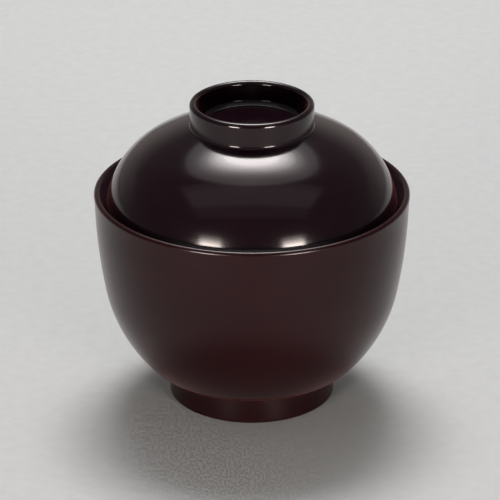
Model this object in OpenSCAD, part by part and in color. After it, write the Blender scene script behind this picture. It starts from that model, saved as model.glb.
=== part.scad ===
// Lacquer soup bowl with a lift-off lid, turned about the Z axis.
// Each piece is a closed section made of tangent arcs and straight lines,
// turned through a full circle. The foot stands on Z = 0.

/* [Bowl] */
// Diameter over the lip
rim_d = 106; // [98:1:114]
// Height of the bowl, from the table to the top of the lip
bowl_h = 74; // [66:1:82]
// Thickness of the rounded lip
lip_t = 2.2; // [1.8:0.1:2.8]
// Radius of the slight outward flare under the lip
flare_r = 44; // [30:1:60]
// Outward lean of the flare where it meets the lip
flare_lean = 6.5; // [5:0.5:9]
// Lean of the wall at its most upright, under the flare
wall_lean = 1.6; // [0.6:0.2:3]
// Lean of the belly where it runs into the foot
belly_lean = 86; // [78:1:89]

/* [Mouth] */
// Inward lean of the mouth's bevel, which carries the lid
mouth_lean = 29; // [25:1:36]
// Depth of the lid's seat below the top of the lip
seat_depth = 6.2; // [5:0.1:8]
// Length of bevel left below the seat
seat_land = 1; // [0.6:0.1:2]
// Radius that turns the bevel into the inner wall
mouth_r = 3; // [2:0.5:6]
// Gap between the lid's edge and its seat
seat_gap = 0.15; // [0.1:0.01:0.25]

/* [Hollow] */
// Thickness of the bowl's bottom on the axis
floor_t = 5.6; // [4.5:0.1:7]
// Radius of the dished floor inside the bowl
floor_r = 23; // [19:0.5:26]
// Slope of the dished floor at its edge
dish_lean = 6; // [3:1:10]

/* [Foot] */
// Diameter over the standing edge
foot_d = 56.2; // [50:0.2:62]
// Height of the foot, up to the belly
foot_h = 9.6; // [8.4:0.1:12]
// Outward lean of the foot's side, wider at the table
foot_lean = 6; // [2:0.5:9]
// Radius of the hollow between foot and belly
foot_fillet = 0.8; // [0.5:0.1:1.5]
// Width of the foot's ring at the table
foot_t = 3.4; // [2.8:0.1:4.5]
// Radius on both sides of the standing edge
foot_edge = 0.8; // [0.5:0.05:1]
// Depth of the recess under the bowl
under_h = 7.2; // [5:0.1:8]
// Lean of the recess's side, wider at the table
under_lean = 8; // [3:0.5:14]
// Radius in the corner of the recess
under_fillet = 2.4; // [1.5:0.1:3.5]

/* [Lid] */
// Thickness of the lid's rounded edge
edge_t = 2.4; // [2:0.1:3]
// Rise from the edge's middle to the top of the dome, under the ring
dome_h = 31.6; // [28:0.2:35]
// Steepness of the dome where its side meets its cap
shoulder_lean = 29.5; // [26:0.5:33]
// Thickness of the lid between the ring's recess and the hollow under it
crown_t = 2.4; // [1.8:0.1:3]
// Steepness of the hollow where its side meets its crown
inner_lean = 12; // [10:0.5:15]

/* [Ring] */
// Diameter over the ring's lip
ring_d = 41.6; // [36:0.2:46]
// Height of the ring's lip above the top of the dome
ring_h = 5.3; // [4:0.1:8]
// Thickness of the ring's rounded lip
ring_t = 2.5; // [1.8:0.1:3.2]
// Lean of the ring's outside, wider at the lip
ring_lean = 1.6; // [0:0.2:5]
// Radius of the hollow between the ring and the dome
ring_fillet = 0.8; // [0.4:0.1:1.4]
// Depth of the recess inside the ring
well_h = 8.8; // [7:0.1:10]
// Lean of the recess's side, narrower at its floor
well_lean = 6; // [2:0.5:12]
// Radius in the corner of the recess
well_fillet = 2.2; // [1:0.1:4]

/* [Lacquer] */
// Thickness of the lacquer, all coats together
coat = 0.3; // [0.2:0.02:0.36]

/* [Hidden] */
$fn = 180;

// Shares that split the turn of the bowl's wall into three arcs
belly_turn_share = 0.99;
upper_turn_share = 0.235;
upper_radius_share = 3.7;

// How far the chords that make up an arc may lie inside it
chord_gap = 0.03;

// Ways that a surface can face, as angles in the section: 0 is away from the axis
OUT = 0;
UP = 90;
IN = 180;
DOWN = -90;
UNDER_IN = -180;
function dir(a) = [cos(a), sin(a)];

// An arc of radius r swells outward where r is above 0 and is hollow where r is below 0.
// It runs from a surface that faces a to one that faces b.
function arc_end(p, r, a, b) = p + r * (dir(b) - dir(a));
function arc_start(p, r, a, b) = p - r * (dir(b) - dir(a));

// The two factors x and y for which d = x * u + y * v
function factors(d, u, v) = [cross(d, v) / cross(u, v), cross(u, d) / cross(u, v)];

// How far a point at v goes along direction u until it meets a circle of radius r about 0
function way_to_circle(v, u, r) = -v * u - sqrt(pow(v * u, 2) - v * v + pow(r, 2));

// Radii of three tangent arcs that lead from p to q, where the third is k times the second
function wall_radii(p, q, a, b, c, d, k) =
    let (lower = dir(b) - dir(a))
    let (upper = dir(c) - dir(b) + k * (dir(d) - dir(c)))
    let (r = factors(q - p, lower, upper))
    [r[0], r[1], k * r[1]];

// Turn of the lower arc in a wall that runs out by x over a rise of y
function lower_turn(x, y) = belly_turn_share * 2 * atan(x / y);

// Lip of the bowl
lip_r = lip_t / 2;
lip_c = [rim_d / 2 - lip_r, bowl_h - lip_r];
lip_outer = lip_c + lip_r * dir(-flare_lean);
lip_top = lip_c + lip_r * dir(UP);
lip_inner = lip_c + lip_r * dir(IN - mouth_lean);
wall_top = arc_start(lip_outer, -flare_r, -wall_lean, -flare_lean);

// Foot, outside
foot_outer_c = [foot_d / 2 - foot_edge, foot_edge];
foot_side = foot_outer_c + foot_edge * dir(foot_lean);
foot_turn = dir(-belly_lean) - dir(foot_lean);
foot_top_z = foot_h + foot_fillet * foot_turn[1];
foot_top = [foot_side[0] - (foot_top_z - foot_side[1]) * tan(foot_lean), foot_top_z];
belly_foot = arc_end(foot_top, -foot_fillet, foot_lean, -belly_lean);

// Recess under the foot
under_face = UNDER_IN + under_lean;
under_turn = dir(under_face) - dir(DOWN);
foot_inner_c = [foot_d / 2 - foot_t + foot_edge, foot_edge];
under_side = foot_inner_c + foot_edge * dir(under_face);
under_top_z = under_h - under_fillet * under_turn[1];
under_top = [under_side[0] - (under_top_z - under_side[1]) * tan(under_lean), under_top_z];
under_flat = arc_start(under_top, -under_fillet, DOWN, under_face);

// Belly, from the foot up to the flare
belly_span = wall_top - belly_foot;
belly_turn = lower_turn(belly_span[0], belly_span[1]);
upper_turn = upper_turn_share * belly_turn;
belly_r = wall_radii(belly_foot, wall_top, -belly_lean, -belly_turn, -upper_turn, -wall_lean,
                     upper_radius_share);
belly_low = arc_end(belly_foot, belly_r[0], -belly_lean, -belly_turn);
belly_high = arc_end(belly_low, belly_r[1], -belly_turn, -upper_turn);

// Bevel of the mouth and the seat on it
mouth_face = IN - mouth_lean;
function on_bevel(z) = [lip_inner[0] - (lip_inner[1] - z) * tan(mouth_lean), z];
seat = on_bevel(bowl_h - seat_depth);
mouth_low = on_bevel(bowl_h - seat_depth - seat_land);
inner_top = arc_end(mouth_low, mouth_r, mouth_face, IN - wall_lean);

// Inner wall and dished floor
dish_r = floor_r / sin(dish_lean);
floor_z = under_h + floor_t;
floor_edge = [floor_r, floor_z + dish_r * (1 - cos(dish_lean))];
hollow_span = inner_top - floor_edge;
hollow_turn = lower_turn(hollow_span[0], hollow_span[1]);
hollow_upper_turn = upper_turn_share * hollow_turn;
hollow_r = wall_radii(floor_edge, inner_top, UP + dish_lean, IN - hollow_turn,
                      IN - hollow_upper_turn, IN - wall_lean, upper_radius_share);
hollow_low = arc_end(floor_edge, hollow_r[0], UP + dish_lean, IN - hollow_turn);
hollow_high = arc_end(hollow_low, hollow_r[1], IN - hollow_turn, IN - hollow_upper_turn);

// Edge of the lid, set against its seat
edge_r = edge_t / 2;
edge_c = seat + (edge_r + seat_gap) * dir(mouth_face);
lid_side = edge_c + edge_r * dir(OUT);
lid_bottom = edge_c + edge_r * dir(DOWN);
lid_inside = edge_c + edge_r * dir(UNDER_IN);

// Dome, from the lid's edge up to the axis
crown_z = edge_c[1] + dome_h;
shoulder_face = UP - shoulder_lean;
dome_r = factors([0, crown_z] - lid_side, dir(shoulder_face) - dir(OUT),
                 dir(UP) - dir(shoulder_face));
shoulder = arc_end(lid_side, dome_r[0], OUT, shoulder_face);
cap_r = dome_r[1];
cap_c = [0, crown_z - cap_r];

// Ring on the dome
ring_r = ring_t / 2;
ring_top_z = crown_z + ring_h;
ring_c = [ring_d / 2 - ring_r, ring_top_z - ring_r];
ring_outer = ring_c + ring_r * dir(-ring_lean);
ring_top = ring_c + ring_r * dir(UP);
down_ring = dir(DOWN - ring_lean);
fillet_start = ring_outer + ring_fillet * dir(-ring_lean) - cap_c;
fillet_v = fillet_start + way_to_circle(fillet_start, down_ring, cap_r + ring_fillet) * down_ring;
ring_foot_face = atan2(fillet_v[1], fillet_v[0]);
crown_end = cap_c + cap_r * dir(ring_foot_face);
ring_low = cap_c + fillet_v - ring_fillet * dir(-ring_lean);

// Recess inside the ring
well_face = IN - well_lean;
well_z = ring_top_z - well_h;
well_top = ring_c + ring_r * dir(well_face);
well_low_z = well_z + well_fillet * (dir(UP)[1] - dir(well_face)[1]);
well_low = [well_top[0] - (well_top[1] - well_low_z) * tan(well_lean), well_low_z];
well_flat = arc_end(well_low, -well_fillet, well_face, UP);

// Hollow of the lid, from the axis out to its edge
apex = [0, well_z - crown_t];
inner_face = DOWN - inner_lean;
inner_r = factors(lid_inside - apex, dir(inner_face) - dir(DOWN), dir(UNDER_IN) - dir(inner_face));
inner_low = arc_end(apex, inner_r[0], DOWN, inner_face);

// Each section is a list of legs: a point, the way that the surface faces there, and
// the radius of the arc that leads on to the next point, or 0 where a straight line does.
BOWL = [
    [[0, under_h], DOWN, 0],
    [under_flat, DOWN, -under_fillet],
    [under_top, under_face, 0],
    [under_side, under_face, foot_edge],
    [foot_inner_c + foot_edge * dir(DOWN), DOWN, 0],
    [foot_outer_c + foot_edge * dir(DOWN), DOWN, foot_edge],
    [foot_side, foot_lean, 0],
    [foot_top, foot_lean, -foot_fillet],
    [belly_foot, -belly_lean, belly_r[0]],
    [belly_low, -belly_turn, belly_r[1]],
    [belly_high, -upper_turn, belly_r[2]],
    [wall_top, -wall_lean, -flare_r],
    [lip_outer, -flare_lean, lip_r],
    [lip_top, UP, lip_r],
    [lip_inner, mouth_face, 0],
    [mouth_low, mouth_face, mouth_r],
    [inner_top, IN - wall_lean, hollow_r[2]],
    [hollow_high, IN - hollow_upper_turn, hollow_r[1]],
    [hollow_low, IN - hollow_turn, hollow_r[0]],
    [floor_edge, UP + dish_lean, -dish_r],
    [[0, floor_z], UP, 0]
];
LAND_INNER = 4;
LAND_OUTER = 5;
LIP_INNER = 14;
BOWL_END = len(BOWL) - 1;

LID = [
    [apex, DOWN, inner_r[0]],
    [inner_low, inner_face, inner_r[1]],
    [lid_inside, UNDER_IN, edge_r],
    [lid_bottom, DOWN, edge_r],
    [lid_side, OUT, dome_r[0]],
    [shoulder, shoulder_face, cap_r],
    [crown_end, ring_foot_face, -ring_fillet],
    [ring_low, -ring_lean, 0],
    [ring_outer, -ring_lean, ring_r],
    [ring_top, UP, ring_r],
    [well_top, well_face, 0],
    [well_low, well_face, -well_fillet],
    [well_flat, UP, 0],
    [[0, well_z], UP, 0]
];
LID_BOTTOM = 3;
LID_END = len(LID) - 1;

// Number of chords that make up an arc
function chords(r, turn) = ceil(abs(turn) / (2 * acos(1 - chord_gap / abs(r))));

// Point of a leg, set into the material by a depth
function inset(leg, depth) = leg[0] - depth * dir(leg[1]);

// Points from a leg up to the next, set in by a depth, the next one's own left out
function stretch(leg, next, depth) =
    leg[2] == 0 ? [inset(leg, depth)] :
    let (centre = leg[0] - leg[2] * dir(leg[1]))
    let (turn = next[1] - leg[1])
    let (n = chords(leg[2], turn))
    [for (i = [0:n - 1]) centre + (leg[2] - depth) * dir(leg[1] + turn * i / n)];

// Points from the first of some legs to the last, set in by a depth
function trace(legs, first, last, depth) =
    [for (i = [first:last - 1]) each stretch(legs[i], legs[i + 1], depth), inset(legs[last], depth)];

function reversed(points) = [for (i = [len(points) - 1:-1:0]) points[i]];

// Lacquer over the surface between two legs. It ends square to the surface.
module lacquer(legs, first, last) {
    surface = trace(legs, first, last, 0);
    wood = trace(legs, first, last, coat);
    rotate_extrude() polygon(concat(surface, reversed(wood)));
}

// The wood reaches through the lacquer at the land on which the foot stands
module bowl_core() {
    land = [[BOWL[LAND_INNER][0][0], 0], [BOWL[LAND_OUTER][0][0], 0]];
    under = trace(BOWL, 0, LAND_INNER, coat);
    upper = trace(BOWL, LAND_OUTER, BOWL_END, coat);
    color("burlywood") rotate_extrude() polygon(concat(under, land, upper));
}

module bowl_outer_lacquer() {
    color("#3a1e1e") lacquer(BOWL, LAND_OUTER, LIP_INNER);
}

module bowl_inner_lacquer() {
    color("#141112") lacquer(BOWL, LIP_INNER, BOWL_END);
}

module bowl_foot_lacquer() {
    color("#2a1719") lacquer(BOWL, 0, LAND_INNER);
}

module lid_core() {
    color("burlywood") rotate_extrude() polygon(trace(LID, 0, LID_END, coat));
}

module lid_outer_lacquer() {
    color("#241318") lacquer(LID, LID_BOTTOM, LID_END);
}

module lid_inner_lacquer() {
    color("#141112") lacquer(LID, 0, LID_BOTTOM);
}

bowl_core();
bowl_outer_lacquer();
bowl_inner_lacquer();
bowl_foot_lacquer();
lid_core();
lid_outer_lacquer();
lid_inner_lacquer();
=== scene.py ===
from math import atan, atan2, cos, degrees, pi, radians, sin, sqrt, tan
import bmesh
import bpy
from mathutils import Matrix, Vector


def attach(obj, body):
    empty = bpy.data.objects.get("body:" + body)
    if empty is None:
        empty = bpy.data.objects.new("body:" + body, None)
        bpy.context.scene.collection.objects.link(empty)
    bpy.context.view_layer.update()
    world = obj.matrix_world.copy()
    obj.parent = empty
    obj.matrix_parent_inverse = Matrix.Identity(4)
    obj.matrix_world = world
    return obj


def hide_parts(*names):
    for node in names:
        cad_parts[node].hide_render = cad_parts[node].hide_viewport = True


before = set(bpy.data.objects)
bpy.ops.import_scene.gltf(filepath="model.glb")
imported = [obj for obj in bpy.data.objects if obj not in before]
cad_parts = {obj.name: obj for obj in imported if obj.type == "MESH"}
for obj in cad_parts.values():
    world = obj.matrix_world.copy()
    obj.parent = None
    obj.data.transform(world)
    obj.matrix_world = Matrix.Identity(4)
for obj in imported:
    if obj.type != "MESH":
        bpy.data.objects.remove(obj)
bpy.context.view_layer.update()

# Camera in metres, degrees and millimetres of lens, as fitted to the photograph
CAMERA_AT, CAMERA_DOWN = (0.0, -1.0, 0.5018), 24.25
CAMERA_SENSOR, CAMERA_LENS, CAMERA_REACH = 36.0, 233.5, 20.0
CAMERA_SHIFT_X, CAMERA_SHIFT_Y = -0.0038, 0.001

# Sizes in millimetres and leans in degrees, as in the part
RIM_D, BOWL_H, LIP_T = 106.0, 74.0, 2.2
FLARE_R, FLARE_LEAN, WALL_LEAN, BELLY_LEAN = 44.0, 6.5, 1.6, 86.0
MOUTH_LEAN, SEAT_DEPTH, SEAT_LAND, MOUTH_R, SEAT_GAP = 29.0, 6.2, 1.0, 3.0, 0.15
FLOOR_T, FLOOR_R, DISH_LEAN = 5.6, 23.0, 6.0
FOOT_D, FOOT_H, FOOT_LEAN, FOOT_FILLET, FOOT_T, FOOT_EDGE = 56.2, 9.6, 6.0, 0.8, 3.4, 0.8
UNDER_H, UNDER_LEAN, UNDER_FILLET = 7.2, 8.0, 2.4
EDGE_T, DOME_H, SHOULDER_LEAN, CROWN_T, INNER_LEAN = 2.4, 31.6, 29.5, 2.4, 12.0
RING_D, RING_H, RING_T, RING_LEAN, RING_FILLET = 41.6, 5.3, 2.5, 1.6, 0.8
WELL_H, WELL_LEAN, WELL_FILLET = 8.8, 6.0, 2.2
COAT = 0.3
BELLY_TURN, UPPER_TURN, UPPER_R = 0.99, 0.235, 3.7

# Sizes of the lid's outer skin where it follows the photograph closer than the part
SKIRT_L, SKIRT_R, SKIRT_LEAN = 2.3, 0.8, 9.0
WELL_SHOWN = 8.0

# Faces by the way they look, in degrees from straight out of the axis
OUT, UP, IN, DOWN, UNDER_IN = 0.0, 90.0, 180.0, -90.0, -180.0

# Places in the lists of legs where a skin begins or ends
UNDER_CENTRE, UNDER_EDGE, FOOT_LAND, LIP_INNER, FLOOR_CENTRE = 0, 4, 5, 14, 20
LID_APEX, LID_SEAM, WELL_CENTRE = 0, 3, 15

# Fineness of the meshes
MM = 0.001
TURNS, ARC_STEP, CHORD, ON_AXIS = 224, 3.0, 2.0, 1e-6
SHARP_ANGLE = 50.0

# Patterns of the materials, with scales in cells for each metre
BAND_STRETCH, BAND_SHARE = (12.0, 12.0, 260.0), 0.25
CLOUD_SCALE, SWELL_SCALE = 26.0, 70.0
FLECK_SCALE, FLECK_SHARE = 900.0, 0.1
LACQUER_IOR, LACQUER_TINT = 1.5, (1.0, 0.92, 0.91, 1.0)
SHEEN_ROUGH, SHEEN_TINT = 0.3, (1.0, 0.30, 0.25, 1.0)
GRAIN_STRETCH, GRAIN_SCALE = (1.0, 0.12, 0.3), 160.0
PORE_STRETCH, PORE_SCALE, PORE_DEPTH = (1.0, 0.08, 0.2), 2400.0, 0.00004
WOOD_GLOSS_SCALE = 300.0
WOOD_DARK, WOOD_LIGHT = (0.30, 0.17, 0.085, 1.0), (0.42, 0.27, 0.15, 1.0)
WOOD_PORE = (0.16, 0.085, 0.04, 1.0)
PAPER_SCALE = 220.0
PAPER_DARK, PAPER_LIGHT = (0.316, 0.316, 0.316, 1.0), (0.336, 0.336, 0.336, 1.0)

# Floor in metres
FLOOR_SIDE, FLOOR_FRONT, FLOOR_BACK = 3.0, -0.33, 3.0

# Lights as rows of across and upright, in degrees, and radiance
WHITE, WARM, ROOM = (1.0, 1.0, 1.0), (1.0, 0.94, 0.88), (0.13, 0.129, 0.127, 1.0)
LAMP_AIM = (0.0, 0.0, 0.08)
BEHIND, CAMERA_SIDE = 0.0, 180.0
TOP_ELEVATION, TOP_DISTANCE = 63.0, 1.3
TOP = ((21.7, 17.2, 20.0), (28.5, 21.2, 12.0), (34.0, 25.6, 7.0), (40.5, 30.0, 2.6),
       (45.0, 36.0, 1.2), (52.0, 50.0, 0.8))
BACK_ELEVATION, BACK_DISTANCE = 9.0, 1.6
BACK = ((56.0, 14.0, 0.20), (72.0, 18.0, 0.16), (88.0, 22.0, 0.15), (104.0, 28.0, 0.12),
        (120.0, 34.0, 0.08), (136.0, 40.0, 0.05))

# Ceiling as rows of name, elevation, upright and radiance
CEILING_DISTANCE, CEILING_ACROSS = 1.6, 80.0
CEILING = (("ceiling_near", 68.0, 42.0, 0.12), ("ceiling_high", 80.0, 34.0, 0.20))

# Front strips as rows of lowest and highest elevation and radiance
FRONT_TURN, FRONT_DISTANCE, FRONT_ACROSS = 31.2, 0.7, 16.0
FRONT = ((-9.0, 4.0, 40.0), (4.0, 8.5, 33.0), (8.5, 12.5, 13.0), (12.5, 17.0, 3.0))

cam_data = bpy.data.cameras.new("camera")
cam = bpy.data.objects.new("camera", cam_data)
bpy.context.scene.collection.objects.link(cam)
cam.location = CAMERA_AT
cam.rotation_euler = (radians(90.0 - CAMERA_DOWN), 0.0, 0.0)
cam_data.sensor_width = CAMERA_SENSOR
cam_data.lens = CAMERA_LENS
cam_data.shift_x = CAMERA_SHIFT_X
cam_data.shift_y = CAMERA_SHIFT_Y
cam_data.clip_end = CAMERA_REACH
cam_data.dof.use_dof = False
bpy.context.scene.camera = cam
bpy.context.scene.view_settings.view_transform = "Standard"


def way(a):
    """The unit vector in the section that points a degrees up from straight out."""
    return Vector((cos(radians(a)), sin(radians(a))))


def arc_end(p, r, a, b):
    """The end of an arc of radius r from p, while its face turns from a to b."""
    return p + r * (way(b) - way(a))


def arc_start(p, r, a, b):
    """The start of an arc of radius r that ends in p, while its face turns from a to b."""
    return p - r * (way(b) - way(a))


def drop(p, z, lean):
    """The point at height z below p on a line that leans towards the axis."""
    return Vector((p.x - (p.y - z) * tan(radians(lean)), z))


def rise(p, z, lean):
    """The point at height z above p on a line that leans towards the axis."""
    return Vector((p.x - (z - p.y) * tan(radians(lean)), z))


def cross(u, v):
    return u.x * v.y - u.y * v.x


def factors(d, u, v):
    """The two factors with which u and v add up to d."""
    return cross(d, v) / cross(u, v), cross(u, d) / cross(u, v)


def wall_radii(p, q, a, b, c, d, k):
    """Radii of three tangent arcs from p to q that turn from a over b and c to d."""
    lower = way(b) - way(a)
    upper = way(c) - way(b) + k * (way(d) - way(c))
    r = factors(q - p, lower, upper)
    return r[0], r[1], k * r[1]


def lower_turn(x, y):
    return BELLY_TURN * 2.0 * degrees(atan(x / y))


def bowl_legs():
    """The bowl's section as legs of start, way that the face looks, and radius or 0."""
    lip_r = LIP_T / 2
    lip_c = Vector((RIM_D / 2 - lip_r, BOWL_H - lip_r))
    lip_outer = lip_c + lip_r * way(-FLARE_LEAN)
    mouth = IN - MOUTH_LEAN
    lip_inner = lip_c + lip_r * way(mouth)
    wall_top = arc_start(lip_outer, -FLARE_R, -WALL_LEAN, -FLARE_LEAN)

    outer_c = Vector((FOOT_D / 2 - FOOT_EDGE, FOOT_EDGE))
    foot_side = outer_c + FOOT_EDGE * way(FOOT_LEAN)
    top_z = FOOT_H + FOOT_FILLET * (way(-BELLY_LEAN) - way(FOOT_LEAN)).y
    foot_top = rise(foot_side, top_z, FOOT_LEAN)
    belly_foot = arc_end(foot_top, -FOOT_FILLET, FOOT_LEAN, -BELLY_LEAN)

    under = UNDER_IN + UNDER_LEAN
    inner_c = Vector((FOOT_D / 2 - FOOT_T + FOOT_EDGE, FOOT_EDGE))
    under_side = inner_c + FOOT_EDGE * way(under)
    under_z = UNDER_H - UNDER_FILLET * (way(under) - way(DOWN)).y
    under_top = rise(under_side, under_z, UNDER_LEAN)
    under_flat = arc_start(under_top, -UNDER_FILLET, DOWN, under)

    span = wall_top - belly_foot
    turn = lower_turn(span.x, span.y)
    upper = UPPER_TURN * turn
    belly = wall_radii(belly_foot, wall_top, -BELLY_LEAN, -turn, -upper, -WALL_LEAN, UPPER_R)
    belly_low = arc_end(belly_foot, belly[0], -BELLY_LEAN, -turn)
    belly_high = arc_end(belly_low, belly[1], -turn, -upper)

    mouth_low = drop(lip_inner, BOWL_H - SEAT_DEPTH - SEAT_LAND, MOUTH_LEAN)
    inner_top = arc_end(mouth_low, MOUTH_R, mouth, IN - WALL_LEAN)
    dish_r = FLOOR_R / sin(radians(DISH_LEAN))
    floor_z = UNDER_H + FLOOR_T
    floor_edge = Vector((FLOOR_R, floor_z + dish_r * (1 - cos(radians(DISH_LEAN)))))
    span = inner_top - floor_edge
    in_turn = lower_turn(span.x, span.y)
    in_upper = UPPER_TURN * in_turn
    hollow = wall_radii(floor_edge, inner_top, UP + DISH_LEAN, IN - in_turn, IN - in_upper,
                        IN - WALL_LEAN, UPPER_R)
    hollow_low = arc_end(floor_edge, hollow[0], UP + DISH_LEAN, IN - in_turn)
    hollow_high = arc_end(hollow_low, hollow[1], IN - in_turn, IN - in_upper)
    return [
        (Vector((0, UNDER_H)), DOWN, 0.0),
        (under_flat, DOWN, -UNDER_FILLET),
        (under_top, under, 0.0),
        (under_side, under, FOOT_EDGE),
        (inner_c + FOOT_EDGE * way(DOWN), DOWN, 0.0),
        (outer_c + FOOT_EDGE * way(DOWN), DOWN, FOOT_EDGE),
        (foot_side, FOOT_LEAN, 0.0),
        (foot_top, FOOT_LEAN, -FOOT_FILLET),
        (belly_foot, -BELLY_LEAN, belly[0]),
        (belly_low, -turn, belly[1]),
        (belly_high, -upper, belly[2]),
        (wall_top, -WALL_LEAN, -FLARE_R),
        (lip_outer, -FLARE_LEAN, lip_r),
        (lip_c + lip_r * way(UP), UP, lip_r),
        (lip_inner, mouth, 0.0),
        (mouth_low, mouth, MOUTH_R),
        (inner_top, IN - WALL_LEAN, hollow[2]),
        (hollow_high, IN - in_upper, hollow[1]),
        (hollow_low, IN - in_turn, hollow[0]),
        (floor_edge, UP + DISH_LEAN, -dish_r),
        (Vector((0, floor_z)), UP, 0.0),
    ]


def lid_legs(bowl):
    """The lid's section as legs like the bowl's, seated on the bevel in the bowl's mouth."""
    mouth = IN - MOUTH_LEAN
    seat = drop(bowl[LIP_INNER][0], BOWL_H - SEAT_DEPTH, MOUTH_LEAN)
    edge_r = EDGE_T / 2
    edge_c = seat + (edge_r + SEAT_GAP) * way(mouth)
    bevel = OUT - MOUTH_LEAN
    skirt_low = edge_c + edge_r * way(bevel)
    skirt_high = skirt_low + SKIRT_L * way(bevel + UP)
    side = arc_end(skirt_high, SKIRT_R, bevel, SKIRT_LEAN)
    inside = edge_c + edge_r * way(UNDER_IN)
    crown_z = edge_c.y + DOME_H

    shoulder_face = UP - SHOULDER_LEAN
    dome = factors(Vector((0, crown_z)) - side, way(shoulder_face) - way(SKIRT_LEAN),
                   way(UP) - way(shoulder_face))
    shoulder = arc_end(side, dome[0], SKIRT_LEAN, shoulder_face)
    cap_r = dome[1]
    cap_c = Vector((0, crown_z - cap_r))

    ring_r = RING_T / 2
    top_z = crown_z + RING_H
    ring_c = Vector((RING_D / 2 - ring_r, top_z - ring_r))
    ring_outer = ring_c + ring_r * way(-RING_LEAN)
    down = way(DOWN - RING_LEAN)
    start = ring_outer + RING_FILLET * way(-RING_LEAN) - cap_c
    along = -start.dot(down)
    reach = along - sqrt(along ** 2 - start.dot(start) + (cap_r + RING_FILLET) ** 2)
    fillet = start + reach * down
    foot_face = degrees(atan2(fillet.y, fillet.x))
    crown_end = cap_c + cap_r * way(foot_face)
    ring_low = cap_c + fillet - RING_FILLET * way(-RING_LEAN)

    well = IN - WELL_LEAN
    well_z = top_z - WELL_SHOWN
    well_top = ring_c + ring_r * way(well)
    well_low = drop(well_top, well_z + WELL_FILLET * (way(UP) - way(well)).y, WELL_LEAN)
    well_flat = arc_end(well_low, -WELL_FILLET, well, UP)

    apex = Vector((0, top_z - WELL_H - CROWN_T))
    in_face = DOWN - INNER_LEAN
    inner = factors(inside - apex, way(in_face) - way(DOWN), way(UNDER_IN) - way(in_face))
    inner_low = arc_end(apex, inner[0], DOWN, in_face)
    return [
        (apex, DOWN, inner[0]),
        (inner_low, in_face, inner[1]),
        (inside, UNDER_IN, edge_r),
        (edge_c + edge_r * way(DOWN), DOWN, edge_r),
        (skirt_low, bevel, 0.0),
        (skirt_high, bevel, SKIRT_R),
        (side, SKIRT_LEAN, dome[0]),
        (shoulder, shoulder_face, cap_r),
        (crown_end, foot_face, -RING_FILLET),
        (ring_low, -RING_LEAN, 0.0),
        (ring_outer, -RING_LEAN, ring_r),
        (ring_c + ring_r * way(UP), UP, ring_r),
        (well_top, well, 0.0),
        (well_low, well, -WELL_FILLET),
        (well_flat, UP, 0.0),
        (Vector((0, well_z)), UP, 0.0),
    ]


def trace(legs, first, last, depth):
    """Points along the section between two legs, set into the material by a depth."""
    points = [legs[first][0] - depth * way(legs[first][1])]
    for i in range(first, last):
        p, a, r = legs[i]
        q, b, _ = legs[i + 1]
        if r:
            c = p - r * way(a)
            length = abs(r * radians(b - a))
            n = max(2, int(abs(b - a) / ARC_STEP) + 1, int(length / CHORD) + 1)
            points += [c + (r - depth) * way(a + (b - a) * k / n) for k in range(1, n + 1)]
        else:
            start, end = p - depth * way(a), q - depth * way(b)
            n = max(1, int((q - p).length / CHORD))
            points += [start.lerp(end, k / n) for k in range(1, n + 1)]
    return points


def revolve(name, points, body, node):
    """A closed skin, turned about the axis from a closed loop of points in the section."""
    mesh = bpy.data.meshes.new(name)
    bm = bmesh.new()
    rings = []
    for p in points:
        if p.x < ON_AXIS:
            rings.append([bm.verts.new((0.0, 0.0, p.y * MM))])
        else:
            rings.append([
                bm.verts.new((p.x * MM * cos(2 * pi * k / TURNS),
                              p.x * MM * sin(2 * pi * k / TURNS), p.y * MM))
                for k in range(TURNS)
            ])
    for i, ring in enumerate(rings):
        other = rings[(i + 1) % len(rings)]
        if len(ring) == 1 and len(other) == 1:
            continue
        for k in range(TURNS):
            m = (k + 1) % TURNS
            if len(ring) == 1:
                bm.faces.new((ring[0], other[m], other[k]))
            elif len(other) == 1:
                bm.faces.new((ring[k], ring[m], other[0]))
            else:
                bm.faces.new((ring[k], ring[m], other[m], other[k]))
    bmesh.ops.recalc_face_normals(bm, faces=bm.faces)
    bm.to_mesh(mesh)
    bm.free()
    mesh.shade_smooth()
    mesh.set_sharp_from_angle(angle=radians(SHARP_ANGLE))
    piece = bpy.data.objects.new(name, mesh)
    bpy.context.scene.collection.objects.link(piece)
    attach(piece, body)
    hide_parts(node)
    return piece


def skin(name, legs, first, last, body, node):
    """The skin of one coat, from its surface down to the coat's thickness."""
    front = trace(legs, first, last, 0.0)
    back = trace(legs, first, last, COAT)
    return revolve(name, front + back[::-1], body, node)


BOWL = bowl_legs()
LID = lid_legs(BOWL)
bowl_outside = skin("bowl_outside", BOWL, FOOT_LAND, LIP_INNER,
                    "bowl", "bowl_outer_lacquer")
bowl_inside = skin("bowl_inside", BOWL, LIP_INNER, FLOOR_CENTRE,
                   "bowl", "bowl_inner_lacquer")
bowl_underfoot = skin("bowl_underfoot", BOWL, UNDER_CENTRE, UNDER_EDGE,
                      "bowl", "bowl_foot_lacquer")
lid_outside = skin("lid_outside", LID, LID_SEAM, WELL_CENTRE,
                   "lid", "lid_outer_lacquer")
lid_inside = skin("lid_inside", LID, LID_APEX, LID_SEAM,
                  "lid", "lid_inner_lacquer")


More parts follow.
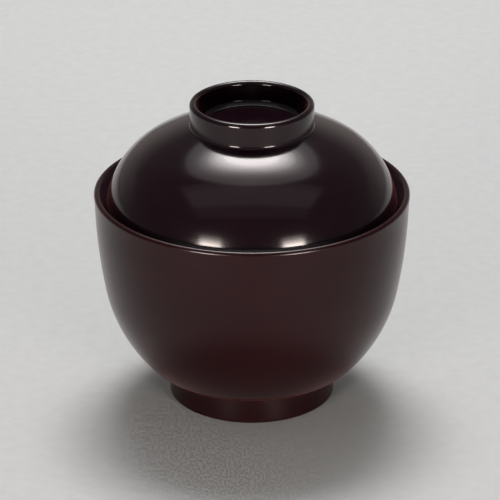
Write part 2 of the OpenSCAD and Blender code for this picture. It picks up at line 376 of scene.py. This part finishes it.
class Nodes:
    """Short calls for building a node material."""

    def __init__(self, name):
        self.mat = bpy.data.materials.new(name)
        self.mat.use_nodes = True
        self.tree = self.mat.node_tree
        self.shader = self.tree.nodes["Principled BSDF"]

    def fill(self, socket, value):
        """Link a socket to another one, or give it a plain value."""
        if isinstance(value, bpy.types.NodeSocket):
            self.tree.links.new(value, socket)
        else:
            socket.default_value = value

    def add(self, kind, values=None, **settings):
        node = self.tree.nodes.new(kind)
        for key, value in settings.items():
            setattr(node, key, value)
        for key, value in (values or {}).items():
            self.fill(node.inputs[key], value)
        return node

    def shade(self, values):
        """Link or set inputs of the shader by their names."""
        for key, value in values.items():
            self.fill(self.shader.inputs[key], value)

    def place(self, stretch=(1.0, 1.0, 1.0)):
        coord = self.add("ShaderNodeTexCoord").outputs["Object"]
        node = self.add("ShaderNodeMapping", {"Vector": coord, "Scale": stretch})
        return node.outputs["Vector"]

    def noise(self, vector, scale, detail=2.0, rough=0.5):
        values = {"Vector": vector, "Scale": scale, "Detail": detail, "Roughness": rough}
        return self.add("ShaderNodeTexNoise", values).outputs["Fac"]

    def span(self, value, low, high, from_low=0.3, from_high=0.7):
        values = {"Value": value, "From Min": from_low, "From Max": from_high,
                  "To Min": low, "To Max": high}
        return self.add("ShaderNodeMapRange", values).outputs["Result"]

    def total(self, a, b):
        return self.add("ShaderNodeMath", {0: a, 1: b}, operation="ADD").outputs[0]

    def mix(self, factor, a, b):
        node = self.add("ShaderNodeMix", data_type="RGBA")
        for key, value in (("Factor", factor), ("A", a), ("B", b)):
            self.fill([s for s in node.inputs if s.name == key and s.enabled][0], value)
        return [s for s in node.outputs if s.enabled][0]

    def bump(self, height, distance, strength):
        values = {"Height": height, "Distance": distance, "Strength": strength}
        return self.add("ShaderNodeBump", values).outputs["Normal"]


def lacquer(name, dark, light, rough_low, rough_high, level, ripple, sheen):
    """Brushed lacquer: faint turned bands, slow clouding of the colour and a slight ripple."""
    m = Nodes(name)
    where = m.place()
    bands = m.noise(m.place(BAND_STRETCH), 1.0, detail=3.0, rough=0.6)
    cloud = m.noise(where, CLOUD_SCALE, detail=3.0, rough=0.55)
    fleck = m.noise(where, FLECK_SCALE, detail=2.0, rough=0.6)
    swell = m.noise(where, SWELL_SCALE, detail=2.0, rough=0.4)
    tone = m.span(m.total(bands, cloud), 0.0, 1.0, from_low=0.75, from_high=1.25)
    wear = m.total(cloud, m.span(fleck, -FLECK_SHARE, FLECK_SHARE))
    height = m.total(swell, m.span(bands, 0.0, BAND_SHARE))
    m.shade({
        "Base Color": m.mix(tone, dark, light),
        "Roughness": m.span(wear, rough_low, rough_high),
        "Normal": m.bump(height, distance=ripple, strength=1.0),
        "IOR": LACQUER_IOR,
        "Specular IOR Level": level,
        "Specular Tint": LACQUER_TINT,
        "Sheen Weight": sheen,
        "Sheen Roughness": SHEEN_ROUGH,
        "Sheen Tint": SHEEN_TINT,
    })
    return m.mat


def turned_wood(name):
    """Bare turned wood with rings of growth and fine pores."""
    m = Nodes(name)
    grain = {"Vector": m.place(GRAIN_STRETCH), "Scale": GRAIN_SCALE,
             "Distortion": 3.0, "Detail": 3.0, "Detail Scale": 1.5}
    rings = m.add("ShaderNodeTexWave", grain, wave_type="BANDS", bands_direction="X")
    rings = m.span(rings.outputs["Fac"], 0.0, 1.0, from_low=0.1, from_high=0.9)
    pores = m.noise(m.place(PORE_STRETCH), PORE_SCALE, detail=2.0, rough=0.7)
    pitted = m.span(pores, 0.0, 0.45, from_low=0.5, from_high=0.75)
    m.shade({
        "Base Color": m.mix(pitted, m.mix(rings, WOOD_DARK, WOOD_LIGHT), WOOD_PORE),
        "Roughness": m.span(m.noise(m.place(), WOOD_GLOSS_SCALE), 0.5, 0.68),
        "Normal": m.bump(pores, distance=PORE_DEPTH, strength=0.6),
    })
    return m.mat


def pale_paper(name):
    """Matt paper with a faint grain."""
    m = Nodes(name)
    grain = m.span(m.noise(m.place(), PAPER_SCALE, detail=4.0, rough=0.6), 0.0, 1.0)
    m.shade({
        "Base Color": m.mix(grain, PAPER_DARK, PAPER_LIGHT),
        "Roughness": 0.9,
        "Specular IOR Level": 0.1,
    })
    return m.mat


def dress(piece, material):
    piece.data.materials.clear()
    piece.data.materials.append(material)


brown_satin = lacquer(
    "brown_satin_lacquer", dark=(0.0058, 0.0006, 0.0011, 1), light=(0.0084, 0.0011, 0.0018, 1),
    rough_low=0.18, rough_high=0.23, level=0.26, ripple=0.000003, sheen=0.06)
brown_gloss = lacquer(
    "brown_gloss_lacquer", dark=(0.0026, 0.0003, 0.0013, 1), light=(0.0036, 0.0005, 0.0018, 1),
    rough_low=0.11, rough_high=0.16, level=0.43, ripple=0.0000015, sheen=0.03)
black_gloss = lacquer(
    "black_gloss_lacquer", dark=(0.0100, 0.0046, 0.0072, 1), light=(0.0130, 0.0060, 0.0088, 1),
    rough_low=0.08, rough_high=0.13, level=0.43, ripple=0.0000015, sheen=0.0)
wood = turned_wood("bare_turned_wood")
dress(bowl_outside, brown_satin)
dress(bowl_underfoot, brown_satin)
dress(bowl_inside, black_gloss)
dress(lid_outside, brown_gloss)
dress(lid_inside, black_gloss)
dress(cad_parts["bowl_core"], wood)
dress(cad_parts["lid_core"], wood)

floor_mesh = bpy.data.meshes.new("floor")
floor_corners = [(-FLOOR_SIDE, FLOOR_FRONT, 0), (FLOOR_SIDE, FLOOR_FRONT, 0),
                 (FLOOR_SIDE, FLOOR_BACK, 0), (-FLOOR_SIDE, FLOOR_BACK, 0)]
floor_mesh.from_pydata(floor_corners, [], [(0, 1, 2, 3)])
floor = bpy.data.objects.new("floor", floor_mesh)
bpy.context.scene.collection.objects.link(floor)
dress(floor, pale_paper("pale_floor"))


def panel(name, azimuth, elevation, distance, across, upright, radiance, shape="RECTANGLE",
          tint=WHITE):
    """A soft box given by its place and by the angles that it fills as seen from the bowl."""
    data = bpy.data.lights.new(name, "AREA")
    data.shape = shape
    data.size = 2.0 * distance * tan(radians(across / 2.0))
    data.size_y = 2.0 * distance * tan(radians(upright / 2.0))
    share = pi / 4.0 if shape == "ELLIPSE" else 1.0
    data.energy = radiance * pi * data.size * data.size_y * share
    data.color = tint
    lamp = bpy.data.objects.new(name, data)
    bpy.context.scene.collection.objects.link(lamp)
    a, e = radians(azimuth), radians(elevation)
    aim = Vector(LAMP_AIM)
    lamp.location = aim + distance * Vector((sin(a) * cos(e), cos(a) * cos(e), sin(e)))
    lamp.rotation_euler = (lamp.location - aim).to_track_quat("Z", "Y").to_euler()


for i, (across, upright, radiance) in enumerate(TOP):
    panel(f"top_{i}", BEHIND, TOP_ELEVATION, TOP_DISTANCE, across, upright, radiance,
          shape="ELLIPSE")
for i, (across, upright, radiance) in enumerate(BACK):
    panel(f"back_{i}", BEHIND, BACK_ELEVATION, BACK_DISTANCE, across, upright, radiance,
          tint=WARM)
for name, elevation, upright, radiance in CEILING:
    panel(name, CAMERA_SIDE, elevation, CEILING_DISTANCE, CEILING_ACROSS, upright, radiance)
for side, name in ((-1, "left"), (1, "right")):
    for i, (low, high, radiance) in enumerate(FRONT):
        panel(f"{name}_front_{i}", CAMERA_SIDE + side * FRONT_TURN, (low + high) / 2,
              FRONT_DISTANCE, FRONT_ACROSS, high - low, radiance, tint=WARM)

world = bpy.data.worlds.new("room")
world.use_nodes = True
background = world.node_tree.nodes["Background"]
background.inputs["Color"].default_value = ROOM
background.inputs["Strength"].default_value = 1.0
bpy.context.scene.world = world
